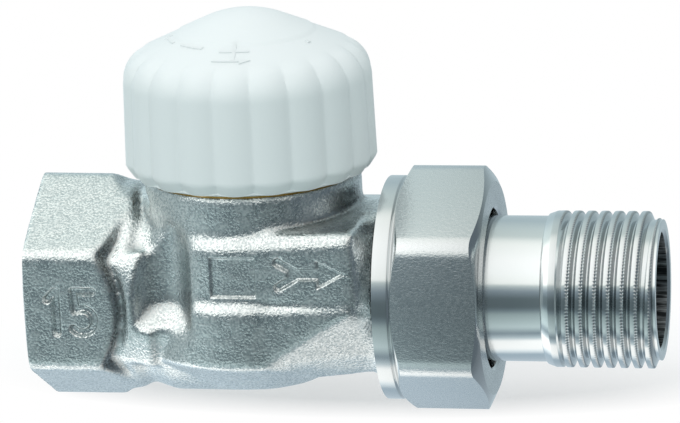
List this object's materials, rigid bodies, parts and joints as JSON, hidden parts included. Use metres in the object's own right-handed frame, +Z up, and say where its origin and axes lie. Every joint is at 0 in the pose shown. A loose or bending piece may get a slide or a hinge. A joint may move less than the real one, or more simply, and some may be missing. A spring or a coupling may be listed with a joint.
{
  "type": "radiator valve",
  "caption": "Straight thermostatic radiator valve: cast body with tapped inlet, spring-opened disc under a screw cap, and a union nut with a threaded tailpiece.",
  "frame": {"origin": "centre of the inlet mouth, on the flow axis", "axes": "+X along the flow to the tailpiece, +Z up the stem axis"},
  "size_m": [0.0843, 0.034, 0.0554],
  "materials": {
    "cast_nickel": "nickel plate on a blasted casting, sparkling grain",
    "turned_nickel": "nickel plate on turned metal, satin",
    "cap_plastic": "moulded white plastic with a faint cool tint",
    "brass": "turned, bare",
    "stainless": "ground",
    "spring_steel": "dark, tempered",
    "bush_plastic": "natural, machined",
    "rubber": "moulded, black"
  },
  "bodies": {
    "valve": {"valve_body": "cast_nickel", "insert_body": "brass", "insert_o_ring": "rubber", "guide_bush": "bush_plastic", "stem_o_ring": "rubber", "return_spring": "stainless", "gland_nut": "brass", "gland_o_ring": "rubber", "pin_o_ring": "rubber", "pin_washer": "bush_plastic"},
    "stem": {"pressure_pin": "stainless", "stem": "stainless", "spring_collar": "brass", "stem_circlip": "spring_steel", "disc_holder": "brass", "seat_washer": "rubber", "clamp_washer": "brass", "clamp_nut": "brass"},
    "cap": {"screw_cap": "cap_plastic"},
    "tailpiece": {"tailpiece": "turned_nickel"},
    "nut": {"union_nut": "turned_nickel"}
  },
  "joints": [
    {"name": "stem_lift", "type": "slide", "parent": "valve", "child": "stem", "axis": [0, 0, 1], "range_m": [0, 0.003], "deforming": ["return_spring"]},
    {"name": "cap_turn", "type": "hinge", "parent": "stem", "child": "cap", "pos_m": [0.0292, 0, 0.025], "axis": [0, 0, 1], "range_deg": [0, 720]},
    {"name": "union_back_off", "type": "slide", "parent": "valve", "child": "tailpiece", "axis": [1, 0, 0], "range_m": [0, 0.00726]},
    {"name": "union_turn", "type": "hinge", "parent": "tailpiece", "child": "nut", "pos_m": [0.055, 0, 0], "axis": [1, 0, 0], "range_deg": [0, 1440]}
  ],
  "couplings": [
    {"joint": "cap_turn", "follows": "stem_lift", "rad_per_m": 4188.8},
    {"joint": "union_turn", "follows": "union_back_off", "rad_per_m": 3463.7}
  ]
}
